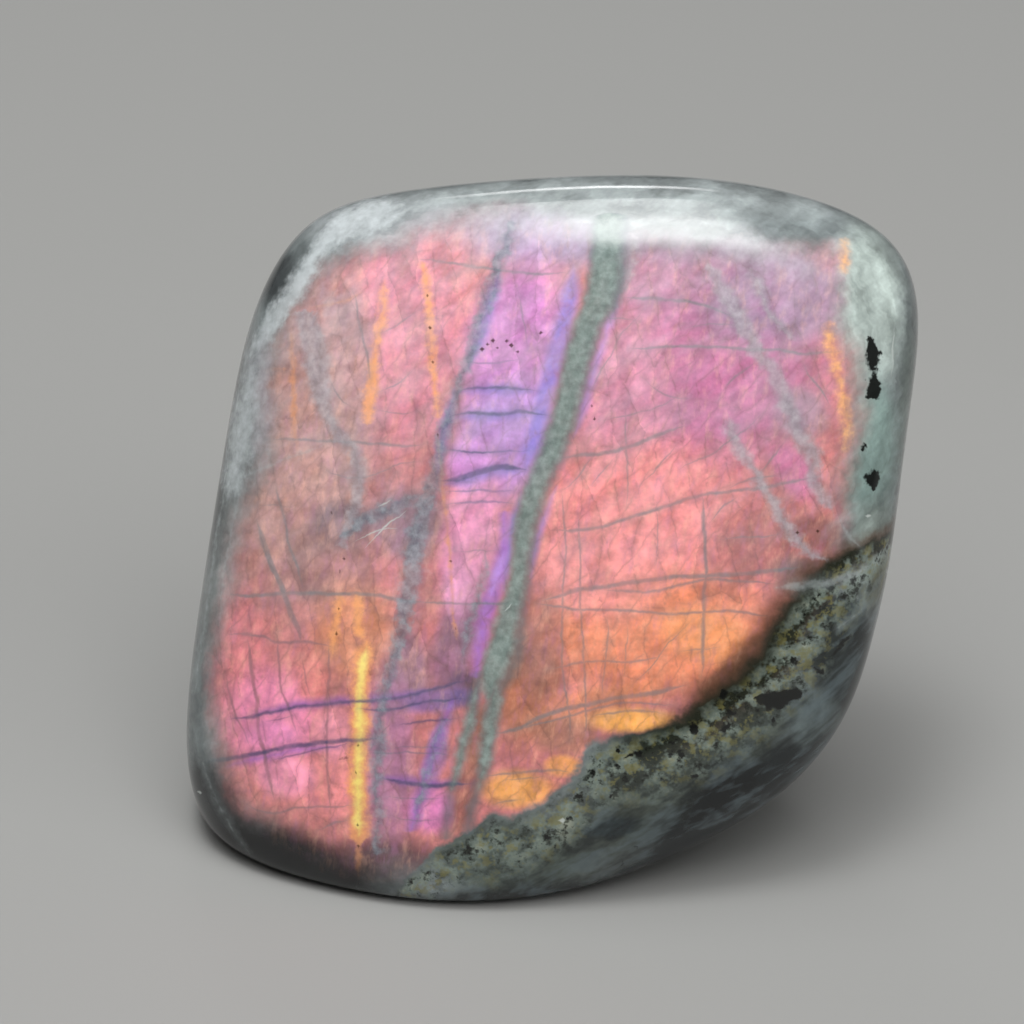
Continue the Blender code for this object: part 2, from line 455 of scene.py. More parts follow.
# What the veins show of the stone, bluer and darker between the two bands and at the lower left
veinBase = "#74787a"
veinPatches = [
    (-25, -16, 8, 9, 0, "#8a5c62", .85),
    (-12, -17, 4, 8, 0, "#4f6178", .8),
    (-6, 9, 5, 9, 0, "#56608a", .85),
]

# Tints inside the play of colour
glowLooks = [{
    # blue and violet along the grey-green band and under the cross veins
    "colour": "#8c82dc", "strength": .8, "blur": .6, "broken": .3,
    "strokes": [
        # along the grey-green band
        (.8, [(1.6, 26), (1.2, 23), (.4, 19.5), (-.5, 16), (-1.3, 13), (-2, 10), (-3.1, 6.5)]),
        (.35, [(-3.2, 5), (-4, 2), (-4.5, -1), (-4.9, -4)]),
        # under the cross veins
        (.5, [(-10.4, 5.6), (-8.6, 6), (-6.8, 6.6), (-5, 7), (-2.8, 6.8)]),
        (.3, [(-9.8, 11.8), (-7, 11.9), (-4, 12), (-1.6, 11.8)]),
        (.3, [(-9, 14.2), (-6, 14.3), (-3, 14.2), (-1.4, 14)]),
        (.45, [(-9.4, 14.5), (-10, 12), (-10.6, 8.8), (-11, 6.6)]),
        (.5, [(-5.2, 25.5), (-6.2, 22), (-7, 19), (-8.2, 16)]),
    ],
}, {
    # deeper violet in the strip beside the band and beside the veins at the lower left
    "colour": "#a06cd0", "strength": .8, "blur": .6, "broken": .25,
    "strokes": [
        # strip beside the band, brightest at mid height
        (1, [(-4.8, 3, .3), (-4.9, 0, .5), (-5.5, -3, .8), (-6.4, -6, .85), (-7, -9, .6), (-7.4, -12, .3)]),
        # beside the veins at the lower left
        (.2, [(-28, -15.7), (-25, -15), (-22.5, -14.6), (-20.5, -14.4), (-16.5, -14.1), (-12, -13.4)]),
        (.2, [(-31, -20.8), (-29, -20.2), (-26.5, -19.7), (-24.5, -19.1), (-20, -18.6)]),
        (.3, [(-16.5, -21.4), (-14, -21.7), (-11.5, -22), (-9, -21.8)]),
        (1, [(-9.6, -14.2, .15), (-10.8, -17.5, .45), (-11.7, -20, .5), (-12.5, -23, .5),
             (-13.5, -26.4, .3)]),
    ],
}, {
    # lilac right of the band, and the brightest part of the strip
    "colour": "#c898ee", "strength": .75, "blur": .5, "broken": .35,
    "strokes": [
        # lilac on the right of the band
        (.3, [(5.6, 23), (4.6, 19.5), (3.4, 16), (2.6, 13), (1.6, 10)]),
        (.2, [(0, 5.5), (-1.2, 2.5), (-1.9, 0), (-2.3, -3)]),
        (.35, [(-4.9, -.5), (-5.2, -2), (-5.7, -3.5), (-6.1, -5)]),
    ],
}]

# Veins without play of colour, which show the grey stone through it
veinLook = {
    "strength": .74, "blur": .18, "spread": .8, "shade": .2, "broken": .3, "taper": 2,
    "strokes": [
        # veins of the right half
        (.16, [(6, 22.7), (10, 22.6), (13, 22.2), (15, 21.5), (16.5, 20.8)]),
        (.15, [(6.5, 18), (10, 18.2), (14, 18.2), (17, 18), (20, 17.9), (22, 17.6), (26, 17.8)]),
        (.05, [(11.3, 19.8), (14, 20.3), (17, 20.2)]),
        (.06, [(8.2, 22), (7, 20.5), (6, 19.5), (5, 17.5), (4, 16), (3.3, 14.5), (3, 13.5)]),
        (.2, [(0, 8), (2, 8.3), (4, 8.5), (6, 8.9), (8, 9.6), (10, 10.5), (12, 11.2)]),
        (.17, [(-.5, 1.5), (1, 1.4), (3, 1.6), (6, 2.4), (8, 3), (10, 3.7), (13, 4.6), (15, 4.9), (18, 5.3),
               (20, 5.6), (22, 6), (23.5, 6.3)]),
        (.08, [(.2, 5), (1.5, 5.8), (2.5, 7.2), (3.5, 8.5)]), (.06, [(3, 5.5), (4.2, 6.9), (5.5, 8.2)]),
        (.07, [(7.5, 5.5), (9, 7), (11, 9.5)]),
        (.1, [(14.8, 13.5), (15.5, 14.7), (17, 16), (18.3, 17)]),
        (.07, [(18, 6.3), (19, 7.2), (20, 8.6), (21, 10)]),
        (.08, [(11, 7), (13, 8), (14.5, 8.7), (17, 10.5), (19, 12.3)]),
        (.12, [(22.2, 17), (23, 15.5), (24.5, 13.7), (25, 12.5)]),
        (.1, [(13.8, 2), (15, 3.5), (16.5, 4.5)]), (.08, [(15, 5), (17, 6), (21, 6.5)]),
        (.08, [(6.3, 13), (6.3, 11), (6.4, 8), (6.5, 5), (6.3, 3.5)]),
        (.08, [(3.6, 20.4), (5.4, 20.9), (7.6, 20.6)]),
        (.07, [(7.6, 15.6), (9, 14.4), (10.8, 13.6), (12.6, 13.4)]),
        (.06, [(4, 11.4), (6, 11.8), (9, 12.6), (12, 14.2)]),
        # long upright cracks of the orange part
        (.1, [(.5, 5), (.7, 2), (.8, -1), (.6, -4), (.5, -7), (.5, -10), (.8, -13), (1.2, -16), (1.2, -18)]),
        (.1, [(2, 3), (2.1, 0), (2.2, -3), (2.2, -6), (2.4, -9), (2.6, -12), (2.7, -15), (2.7, -17.5)]),
        (.06, [(6.5, -7), (6.3, -10), (6.1, -12.5)]),
        (.06, [(4.7, -6), (4.6, -9), (4.3, -12), (4.2, -14)]),
        (.18, [(13.2, 5), (13.4, 2), (13.6, -1), (13.5, -4), (13.4, -7), (13.3, -12)]),
        (.06, [(9.1, 4), (9.2, 1), (9, -2)]),
        # cross veins of the orange part
        (.22, [(-1.5, -5), (0, -4.6), (1.5, -4.1), (3, -3.8), (5, -3.6), (7, -3.3), (9, -3), (11, -2.8),
               (14, -2.7), (17, -2.5), (19, -2.3), (22.5, -1.8)]),
        (.13, [(4, -3.9), (8, -4.2), (10, -3.9), (12, -3.3), (14, -3), (17, -3.2), (20, -3.5)]),
        (.13, [(-2, -5.2), (0, -5.5), (2, -5.8), (5, -5.8), (8, -6), (12, -6.1), (15, -5.9), (20, -6.4)]),
        (.1, [(-1, -11.3), (1, -10.9), (3, -10.6), (6, -10.6), (8, -10.3), (10, -10)]),
        (.08, [(11, -9.6), (13, -9.4), (15, -9.2)]),
        (.22, [(-6, -17.2), (-4, -17), (-2.5, -16.2), (-1, -15.5), (1, -14.9), (3, -14.5), (5, -14),
               (7, -13.7), (9, -13.4), (10.5, -13), (12, -12.7)]),
        (.1, [(-5, -17.1), (-2, -16.4), (0, -15.9), (2, -15.3), (4, -14.8), (6, -14.4), (11, -14.6)]),
        (.12, [(3, -15.6), (5, -15.3), (7, -15.1), (10, -15.3)]),
        (.12, [(-7, -21.2), (-5, -21), (-3, -20.8), (-1.5, -20.6), (0, -20.6), (1.7, -20.9)]),
        (.08, [(-5, -21.6), (-3, -21.4), (-1, -21)]), (.1, [(-6, -23.9), (-4.5, -23.5), (-3, -23.3)]),
        (.08, [(14.5, .6), (16.5, .8), (19, .9), (20.8, 1.2)]),
        (.05, [(6.4, -13.2), (8.6, -11), (10.4, -8.6), (12.6, -6.6)]),
        # veins of the left half
        (.14, [(-27, 10), (-24, 9.9), (-21.5, 9.8), (-18, 9.6), (-16, 9.4), (-13, 9.2), (-12, 9.4)]),
        (.2, [(-31, -4.7), (-27, -4.6), (-24, -4.4), (-20, -4.4), (-17, -4.5), (-14, -5), (-12, -5.1)]),
        (.14, [(-31, -8.2), (-28, -8.4), (-26, -9), (-23.5, -8.9), (-20.5, -9.5)]),
        (.06, [(-28, 3.7), (-26, 3.7), (-24.5, 3.6)]),
        (.12, [(-18.9, 24), (-18.2, 20.5), (-17.6, 18), (-17.2, 15)]),
        (.3, [(-28, 2.5), (-27.3, 0), (-26.5, -2), (-25.5, -4), (-24.8, -6), (-23.8, -8.5), (-23.5, -9.5)]),
        (.14, [(-26.3, 6), (-25.8, 4), (-25.2, 2), (-24.8, 0), (-24, -2), (-23.5, -4)]),
        (.08, [(-12.5, 22), (-14.5, 20.6), (-16.5, 19.6)]),
        (.07, [(-12.8, 16.6), (-14.6, 15), (-16.6, 14.2)]), (.07, [(-21, 15.5), (-20, 13.6), (-18.6, 12.6)]),
        (.06, [(-12.6, 12.6), (-14.2, 12.2), (-16.8, 12.6)]),
        (.06, [(-22, 7.5), (-20.4, 6.6), (-17.5, 6.4), (-14.4, 7.6), (-12.4, 7.8)]),
        # brown upright cracks of the pink corner
        (.12, [(-31, -12), (-30.5, -14), (-30, -16), (-29.2, -17.5), (-28.6, -19)]),
        (.2, [(-28.8, -8.5), (-28.6, -11), (-28, -14), (-27.8, -17), (-27.3, -19.3), (-26.8, -21.5),
              (-26.3, -24)]),
        (.12, [(-25.9, -8), (-25.8, -11), (-25.5, -13.5), (-24.5, -16), (-24, -18)]),
        (.14, [(-21.2, -9), (-21, -12), (-21.2, -15), (-21.3, -18), (-21.2, -22), (-20.9, -25)]),
        (.08, [(-23.5, -10), (-23.2, -13), (-22.5, -14.5)]),
        (.1, [(-29.5, -24), (-28, -24.8), (-26, -25), (-24.5, -24.6), (-22.5, -24.4), (-20.5, -24.3),
              (-18.5, -24)]),
        (.1, [(-22.5, -26.7), (-20, -25.6), (-19, -25.5)]),
        (.05, [(-16, -18.7), (-13, -18.6), (-9.4, -18.7)]), (.07, [(-18, -19.3), (-14, -19.1), (-9, -19.2)]),
        (.05, [(-16, -23.2), (-12.5, -23.4), (-10, -23.2)]), (.06, [(-16, -25), (-12, -25.4), (-10.4, -25)]),
        # veins between the two bands
        (.1, [(-11, 8.9), (-8, 8.7), (-5, 8.7), (-2, 8.8)]),
        (.1, [(-10.5, 4.9), (-8, 5.1), (-6, 5.1), (-3.5, 5.1)]),
        (.1, [(-10.5, 3.8), (-8, 4), (-6, 4.1), (-3.5, 3.8)]),
        (.06, [(-9.5, -.4), (-7, -.5), (-5, -.4)]),
        (.12, [(-13, -5.1), (-8, -5.3), (-5.5, -5.3), (-3, -5.2)]),
        (.14, [(-13, 26.7), (-9, 26.1), (-5, 25.4), (-2, 25.1), (1, 25.2)]),
        (.08, [(-8.8, 17), (-6.5, 16.8), (-3, 17.2)]), (.07, [(-3.6, 24), (-3, 21), (-2.6, 18)]),
    ],
}

# Dark blue and violet veins
darkVeinLook = {
    "colour": "#46486c", "strength": .86, "blur": .2, "spread": .75, "shade": .3, "broken": .2, "taper": 2,
    "strokes": [
        # between the two bands
        (.16, [(-9.5, 14.1), (-8, 14.5), (-5.5, 14.5), (-3, 14.4), (-1.5, 14.2)]),
        (.2, [(-10, 12), (-8, 12.2), (-5.5, 12.1), (-3, 12.3), (-.5, 12)]),
        (.3, [(-11, 5.9), (-9, 6.2), (-7, 6.9), (-5, 7.3), (-2.5, 7)]),
        (.08, [(-10.5, 9), (-8, 8.7), (-5, 8.7)]),
        # across the pink corner
        (.18, [(-30.8, -16.4), (-28, -15.9), (-25, -15.2), (-22.5, -14.8), (-20.5, -14.6), (-18.5, -14.4),
               (-16.5, -14.3), (-14, -13.9), (-12, -13.4), (-10, -12.8), (-8, -12.3)]),
        (.14, [(-18.5, -15.1), (-15, -15.1), (-13, -14.6), (-11, -14.3), (-8, -13.9)]),
        (.24, [(-35, -20.9), (-32, -20.3), (-29.5, -19.8), (-27.5, -19.4), (-25, -18.8), (-22.5, -18.4),
               (-20, -18.1), (-18, -18), (-16, -17.7)]),
        (.08, [(-27, -20.3), (-24, -19.4), (-21, -18.7), (-18.5, -18.3)]),
        (.05, [(-27.5, -16.6), (-26, -16.2), (-24, -15.7)]),
        (.12, [(-15, -16.6), (-12, -16.2), (-8.6, -15.7)]),
        (.22, [(-16.5, -21.5), (-14, -21.9), (-11.5, -22.2), (-9.5, -22), (-7.5, -21.8)]),
    ],
}

# Cloudy bands that lie over it. A colour of two is mottled from one to the other.
bandLooks = [{
    # orange along the right edge of the play of colour
    "colour": ("#eea878", "#ffc070"), "strength": .7, "blur": .6, "grain": .3, "broken": .3,
    "strokes": [
        (1, [(26.5, 28.2, .1), (26.4, 26.5, .3), (26.4, 25, .1)]),
        (1, [(24.8, 20.4, .1), (24.9, 18.8, .45), (25.2, 17.6, .56), (25.5, 16.2, .45), (25.8, 14.8, .26),
             (26.1, 13.2, .41), (26.5, 11.6, .45), (26.6, 10.4, .34), (26.2, 8.8, .1)]),
    ],
}, {
    # thin milky bands
    "colour": ("#9a969c", "#b2aeb3"), "strength": .76, "blur": .55, "grain": .25, "broken": .2,
    "taper": 1, "edge": "ragged",
    "strokes": [
        # milky band at the left
        (1, [(-23.3, 22, .8), (-22.8, 20, 1.1), (-22.3, 17, 1.2), (-21.7, 14, .85), (-21.3, 12, .65),
             (-20.3, 10.5, .5), (-18.7, 9, .5), (-18.4, 7, .6), (-18.3, 5, .6), (-18.8, 3, .4),
             (-19.8, 0, .2)]),
        # broad grey-mauve bands of the upper right
        (1, [(6.8, 28.5, .9), (6.4, 26, 1), (5.8, 24, .7), (5, 22, .3)]),
        (.65, [(13.8, 26.4), (15, 24), (16, 22), (17, 20), (18.3, 18), (19.5, 16), (20.5, 14), (21.3, 12),
               (22.5, 9.5), (23.3, 8), (23.5, 6), (24.3, 4.5), (25, 3)]),
        (.5, [(15.5, 12), (16.3, 9.5), (17.5, 7.5), (18.5, 6), (19.3, 4.5), (20.2, 3), (21, 1.5), (22, .5),
              (23.5, -.8), (24.5, -1.5)]),
        (.35, [(17.7, 25.5), (18.5, 23.5), (19.3, 21.7), (20.5, 20), (21.5, 18.7)]),
    ],
}, {
    # dusky bands
    "colour": ("#64707c", "#8d989f"), "strength": .8, "blur": .5, "spread": 1.3, "shade": .25,
    "grain": .3, "broken": .3, "edge": "ragged",
    "strokes": [
        # bluish grey ragged band
        (1, [(-4.2, 30, .5), (-5, 27, .6), (-5.6, 25, .7), (-6.6, 22, .7), (-7.3, 19, .65), (-8.5, 16, .6),
             (-9.6, 13, .6), (-10.4, 10, .65), (-11, 7, .75), (-11.8, 4.5, .9), (-12.8, 1.5, 1),
             (-13.2, -2, .85), (-13.8, -5, .8), (-14.6, -9, .55), (-15.6, -12.5, .5), (-16.2, -16, .5),
             (-16.5, -20, .5), (-16.6, -24, .45), (-16.7, -28.5, .4)]),
        (.6, [(-21, -.2), (-19, 1.5), (-17, 2.8), (-14, 3.9), (-11.5, 5.2)]),
        # its violet companions
        (.25, [(-9.7, -14.6), (-10.8, -17.6), (-11.7, -20), (-12.4, -23), (-13.4, -26.4)]),
        (.2, [(-10.4, -14), (-10.5, -17), (-10.6, -19.5)]),
        (.3, [(-6.2, 0), (-7, -4), (-7.7, -6), (-8.3, -8.4), (-8.8, -11)]),
    ],
}, {
    # dark sides of the main band
    "colour": "#5e6c70", "strength": .72, "blur": .6, "grain": .15, "broken": .1,
    "strokes": [
        (1, [(5.1, 30.5, 1.6), (4.9, 28.5, 1.6), (4.6, 25, 1.75), (3.9, 22, 1.65), (3, 20, 1.5),
             (2.3, 18, 1.45), (1.6, 15, 1.4), (.9, 12, 1.4), (.2, 10, 1.4), (-.6, 8, 1.4), (-1.8, 5, 1.3),
             (-2.7, 2, 1.25), (-2.9, 0, 1.2), (-3.2, -2, 1.15), (-3.8, -5, 1.2), (-4.2, -7, 1.4),
             (-4.8, -10, 1.7), (-5.4, -12, 1.6), (-5.6, -13.5, .9), (-5.6, -15, .3)]),
        (1, [(-5.4, -11.5, .6), (-5.6, -14, .8), (-6.1, -16, .75), (-6.3, -18, .65), (-6.6, -20, .6),
             (-7.1, -22, .55), (-7.7, -24, .55), (-8.2, -26.5, .4)]),
        (1, [(-6.8, -11.5, .4), (-7.5, -14, .55), (-7.9, -16, .5), (-8.5, -18, .5), (-8.9, -20, .45),
             (-9.5, -22, .5), (-9.9, -24, .5), (-10.2, -27, .4)]),
    ],
}, {
    # main grey-green band and its two branches
    "colour": ("#748680", "#90a09a"), "strength": .9, "blur": .6, "grain": .15, "broken": .1,
    "strokes": [
        (1, [(4.9, 30.5, 1.2), (4.7, 28.5, 1.2), (4.4, 25, 1.3), (3.7, 22, 1.2), (2.8, 20, 1.05),
             (2.1, 18, 1.1), (1.4, 15, 1), (.7, 12, 1), (0, 10, 1), (-.8, 8, 1), (-2, 5, .9), (-2.9, 2, .8),
             (-3.2, 0, .75), (-3.4, -2, .7), (-4, -5, .8), (-4.6, -7, .9), (-5.3, -10, 1.1), (-6, -12, .9),
             (-6.2, -14, .3)]),
        (.5, [(-5.5, -11.5), (-5.7, -14), (-6, -16), (-6.3, -18), (-6.6, -20), (-7.2, -22.5)]),
        (.4, [(-7.3, -13), (-7.9, -16), (-8.5, -18), (-9, -20), (-9.6, -22.5)]),
    ],
}, {
    # white flecks and scratches, and a painted reflection line at the right rim
    "colour": "#c9d0cc", "strength": .8, "blur": .09,
    "strokes": [
        (.06, [(-4.8, -6), (-4.1, -5.3)]), (.07, [(-17.8, -.2), (-15.5, 2), (-13.8, 3.3)]),
        (.06, [(-16.5, 3.6), (-15.3, 4.2)]), (.05, [(-18.6, .4), (-16.4, 1.4), (-14.6, 1.6)]),
        (.2, [(-34, -23.5), (-33.5, -23.5)]), (.2, [(28.3, 2.8), (28.8, 2.7)]),
        # the thin upright stroke from (30.9, 20) to (30.6, 15.5) is a painted reflection of a light at the
        # right
        (.2, [(.3, -25.3), (.8, -25.3)]), (.06, [(30.9, 20), (30.6, 15.5)]),
        (.1, [(30.6, -2.2), (30.9, -2.9)]),
    ],
}]

# Bright orange and yellow streaks
streakLooks = [{
    # broad ones
    "colour": "#f8a868", "strength": .92, "blur": .45, "grain": .35, "broken": .25, "taper": 1,
    "strokes": [
        (1, [(-16, 24.5, .2), (-16, 22, .4), (-16.4, 20, .45), (-16.8, 17.5, .25), (-17.1, 15, .6),
             (-17.3, 13, .55), (-17.4, 11.3, .3)]),
        (1, [(-12.3, 26.3, .1), (-12, 24.5, .4), (-11.7, 21, .35), (-11.5, 18, .4), (-11.3, 15.5, .2),
             (-11, 12, .1)]),
        (.35, [(-20.1, -4.2), (-20.2, -6), (-20.5, -8), (-20.8, -10.5)]),
        (.4, [(-18.3, -4), (-18.4, -6.5), (-18, -9)]),
        (.85, [(-17.5, -8.6), (-17.8, -10.5), (-18, -12), (-18.2, -15), (-18.1, -17.5), (-18.4, -20),
               (-18.4, -22), (-18.3, -25), (-18.3, -28)]),
    ],
}, {
    # thin ones
    "colour": "#dc9460", "strength": .7, "blur": .25, "grain": .2, "broken": .5, "taper": 1.5,
    "strokes": [
        (.25, [(-24.8, 20), (-24.5, 16), (-24.5, 13), (-24.2, 9)]),
        (.3, [(-18.3, -26.5), (-18.3, -28), (-18.4, -29.5), (-18.3, -31.3)]),
        (.12, [(-10.9, 11), (-10.8, 9), (-10.6, 7), (-10.4, 4.5), (-10, 1), (-9.8, -2), (-9.6, -5),
               (-9.4, -7), (-9, -9.5)]),
        (.07, [(-28.5, 16.4), (-26.8, 16.5), (-25, 16.5)]), (.1, [(-18, 23.5), (-20, 22.7), (-23, 22.3)]),
        (.08, [(-17.8, -30.4), (-17, -31.2), (-15, -31)]),
    ],
}, {
    # yellow heart of the brightest ones
    "colour": "#ffe67e", "strength": .97, "blur": .4, "grain": .25, "broken": .15, "taper": 1,
    "strokes": [
        (.34, [(-17.5, -9.3), (-17.8, -10.5), (-18, -12), (-18.2, -15), (-18.1, -17.5), (-18.4, -20),
               (-18.4, -22), (-18.3, -25), (-18.3, -27)]),
    ],
}]

# Milk in the stone near the rim, and a painted sheen along the top
milkLooks = [{
    # white band round the upper left corner
    "colour": "#c8cfd1", "strength": .85, "blur": 1.2, "grain": .5, "broken": .2, "edge": "ragged",
    "strokes": [
        (1, [(-29.5, 17.5), (-27, 20.5), (-25, 23.4), (-23.3, 26), (-22, 28), (-20.5, 29.8), (-18, 31),
             (-14, 31.4)]),
        (.8, [(-31, 4), (-30.3, 8), (-29.6, 12), (-28.6, 17)]),
    ],
}, {
    # haze: milk, and along the top partly a painted sheen of the overhead light
    "colour": "#b4b2ba", "strength": .5, "blur": 1.6, "grain": .6, "broken": .3,
    "strokes": [
        # these two along the top are partly a painted sheen of the overhead light
        (1.2, [(-14, 30), (-10, 30), (-6, 29.4), (-3, 29.4)]),
        (1.3, [(14, 27.6), (18, 27), (22, 25.8), (25, 24.6)]),
        (.8, [(-22, 25), (-21.5, 23), (-21, 21)]),
        (.6, [(-27.5, 20), (-27.6, 16), (-27.4, 12), (-28, 8)]),
        (.5, [(-12.6, 1), (-13.2, -1.5), (-13.8, -4), (-14, -6)]),
    ],
}, {
    # thin pale lines
    "colour": "#adb6b6", "strength": .5, "blur": .32, "spread": .9, "shade": .2, "grain": .2,
    "broken": .4,
    "strokes": [
        # arcs at the left
        (.12, [(-31, 5.5), (-28, 7), (-25, 8.2), (-22, 9.2), (-20.5, 10)]),
        (.15, [(-33, -6), (-32.3, 0), (-31.2, 6), (-30.4, 11)]),
        (.12, [(-31.8, -9), (-31.3, -3), (-30.2, 3), (-29.2, 8), (-28.7, 13)]),
        (.1, [(-34.2, -14), (-33.4, -8), (-32.4, -2)]),
        (.05, [(-33.5, -20), (-32.5, -23), (-31, -26), (-29, -29)]),
        # white wisp at the right
        (1, [(20, -3.8, .1), (21.5, -3.7, .35), (23.5, -3.5, .45), (25, -3.3, .4), (27, -2.6, .3),
             (28.5, -1.8, .2)]),
        (.12, [(25.6, -7.6), (27, -6.8), (28.4, -5.4)]), (.15, [(25.8, 2.6), (27, .6), (28.6, -.6)]),
    ],
}]

# Black grains, each a short thick stroke
grainLook = {
    "colour": "#0a0b09", "strength": .98, "blur": .2, "grain": .4, "longest": 20, "taper": .3,
    "edge": "ragged",
    "strokes": [
        (1, [(28.6, 19, .3), (28.8, 17.9, .8), (28.7, 16.6, .55), (28.9, 15.9, .3), (29, 15.1, .65),
             (28.9, 14.3, .8), (28.8, 13.4, .35)]),
        (1, [(28.9, 7.2, .3), (29, 6.6, .7), (28.9, 5.9, .7), (28.9, 5.3, .3)]),
        (.08, [(28, 9.5), (28.1, 8.7)]),
        (1, [(18.3, -14, .3), (19, -14, .75), (20.2, -13.9, 1), (21.4, -13.9, .8), (22.4, -13.5, .5),
             (22.9, -13.4, .15)]),
        (.35, [(14.9, -13.6), (15.7, -13.5)]), (.35, [(21.4, -10.3), (22.2, -10.6)]),
        (.45, [(11.9, -16.4), (13.1, -16.7)]), (.35, [(15.1, -16.9), (15.9, -16.6)]),
        (.18, [(14, -18.4), (14.6, -18.4)]), (.28, [(12.2, -21.2), (13.2, -20.9)]),
        (.22, [(19.8, -16), (20.2, -16)]), (.25, [(6.2, -19.3), (7, -19), (7.9, -18.9)]),
        (.25, [(10.2, -19), (10.8, -19)]), (.15, [(5.2, -18.8), (5.8, -18.7)]),
        (.12, [(5.3, -20.2), (5.7, -20.2)]), (.2, [(4.6, -23.1), (5, -22.9)]),
        (.12, [(9.5, -21.2), (9.9, -21.2)]), (.15, [(7.1, -28), (7.5, -28)]),
        (.22, [(6.1, -29.7), (6.5, -29.5)]), (.2, [(-.2, -27.8), (.2, -27.8)]),
        (.1, [(-1.1, -28), (-.9, -28)]), (.16, [(27, -8), (26.3, -9), (25.5, -10.3)]),
        (.25, [(23.6, -10.8), (24.4, -11.8)]), (.14, [(-16.8, -25.5), (-16.6, -25.5)]),
        (.08, [(-20, -19.7), (-19.6, -19.5)]),
    ],
}

# Fine dark dots along the streaks and in the middle: flat ones first, then upright ones
dotLook = {
    "colour": "#3c2418", "strength": .85, "blur": .1, "longest": 20,
    "strokes": [(size, [(u - size, v), (u + size, v + .02)]) for u, v, size in (
        (-6.8, 18.1, .2), (-6.3, 18.6, .14), (-5.8, 18.9, .2), (-5.4, 18.2, .12), (-4.6, 18.9, .14),
        (-4.2, 18.5, .22), (-3.6, 17.9, .14), (-1.4, 19.6, .16), (21.9, 1.2, .16), (23.8, 1.4, .18),
    )] + [(size, [(u, v + size), (u + .02, v - size)]) for u, v, size in (
        (-11.9, 23.2, .14), (-11.7, 20.2, .16), (-11.4, 17, .14), (-10.9, 10.2, .12), (-9.8, -1.4, .12),
        (-20.4, -8.1, .16), (-20.2, -5.8, .12), (-18.3, -18.5, .14), (-18.6, -21, .14), (-18.4, -25.9, .16),
        (-18.3, -28, .14), (-19.7, -1.2, .14), (-20, -2.4, .12), (-20.8, 3.1, .12), (3.2, 12.9, .12),
        (3.5, 11.7, .14), (-9.3, -7.6, .1),
    )],
}


# The material: labradorite, sawn and polished wet to a glassy finish. It shows sharp highlights, and the
# colours lie in clear stone just under the polish.
stoneLook = {
    "name": "polished labradorite",
    "ior": 1.56,                             # plagioclase feldspar
    "roughness": (0.0595, 0.119),            # from the best polished places to the dullest
    "mottle": 0.11,                          # how much lighter and darker the finest grain is
    "polishWave": 2.0,                       # mm between the faint waves left by tumbling
    "waveHeight": 0.05,                      # mm
    "waveStrength": 0.05,
    "clouds": [(0.32, "#2d3534"), (0.5, "#4d5855"), (0.7, "#7f8a86")],
    "cloudSize": 9.0,                        # mm, clouds in the body
    "milk": "#a3ada9",
    "wispSize": (9.0, 2.2, 3.5),             # mm, milky wisps and dark streaks
    "wispTurn": (0.3, 0.4, 0.72),
    "smokeWidth": 2.0,                       # mm, strands of milk that follow the rim
    "smokeLength": 5.0,
    "smokeTones": (0.6, 1.2),                # from dark clear stone to milk
}

# In the play of colour
flashLook = {
    "tones": (0.8, 1.22),                    # from its darkest places to its brightest
    "silkSize": (0.9, 2.6, 3.0),             # mm, silky growth lines: across, along and inwards
    "silkTurn": -8,                          # degrees
    # where in the noise they start and are full, colour and strength
    "silk": [(.52, .7, "#ffc2a0", .22), (.48, .32, "#b878a8", .2)],
    # Hair cracks: lean from the u axis in degrees, width and length of the cells between them in mm,
    # strength, where in the noise they start and are full, and whether the cells differ in brightness
    "cracks": [
        (52, 2.1, 7.0, .36, .44, .58, False),
        (99, 2.0, 7.5, .36, .56, .44, True),
    ],
    "crackColour": "#74504a",
    "cellTones": (0.86, 1.16),
    "milk": "#ebe9f4",
    "milkiness": (0.03, 0.15),               # from the clearest places to the cloudiest
    # the veil grows towards the top, partly as a painted sheen of the overhead light
    "milkAndSheenUpwards": (0.25, 1.7),               # times that at the bottom and at the top
    "fade": (-2.0, 2.6),                     # mm across which it fades in at the rim
    "breakOff": (-0.4, 0.6),                 # mm across which it ends at the speckled corner
}

# In the speckled corner. Layers are given by where in the noise they start and are full, colour and
# strength, and speckles by their size in mm and their layers.
cornerLook = {
    "brown": "#583c2a",
    "edge": "#1d2318",
    "strands": [(.5, .64, "#67757a", .5), (.5, .38, "#12181b", .65)],
    "speckles": [
        (2.2, [(.46, .56, "#7d8a80", .75), (.58, .7, "#a6aa96", .52), (.44, .37, "#262b22", .65)]),
        (1.3, [(.52, .62, "#7a7646", .65), (.46, .4, "#20241a", .75), (.385, .355, "#0a0b08", .94)]),
    ],
}


def bodyColour(tree, place):
    # grey-green feldspar right through the stone: clouds, milky wisps and dark clear patches
    look = stoneLook
    clouds = addNode(tree, "TexNoise", {
        "Vector": place["uvw"], "Scale": 1 / look["cloudSize"], "Detail": 4.0, "Roughness": 0.6,
    })
    ramp = addNode(tree, "ValToRGB", [clouds])
    stops = ramp.node.color_ramp.elements
    stops.new(look["clouds"][1][0])
    for stop, (position, colour) in zip(stops, look["clouds"]):
        stop.position, stop.color = position, linearColour(colour)
    place["wisps"] = addNode(tree, "TexNoise", {
        "Vector": addNode(tree, "Mapping", {
            "Vector": place["uvw"], "Rotation": look["wispTurn"], "Scale": look["wispSize"],
        }, vector_type="TEXTURE"),
        "Scale": 1.0, "Detail": 3.0, "Roughness": 0.64,
    })
    milky = addNode(tree, "MapRange", [place["wisps"], 0.5, 0.72, 0.0, 0.6], **softly)
    return addNode(tree, "Mix", {0: milky, 6: ramp, 7: look["milk"]}, **ofColours)


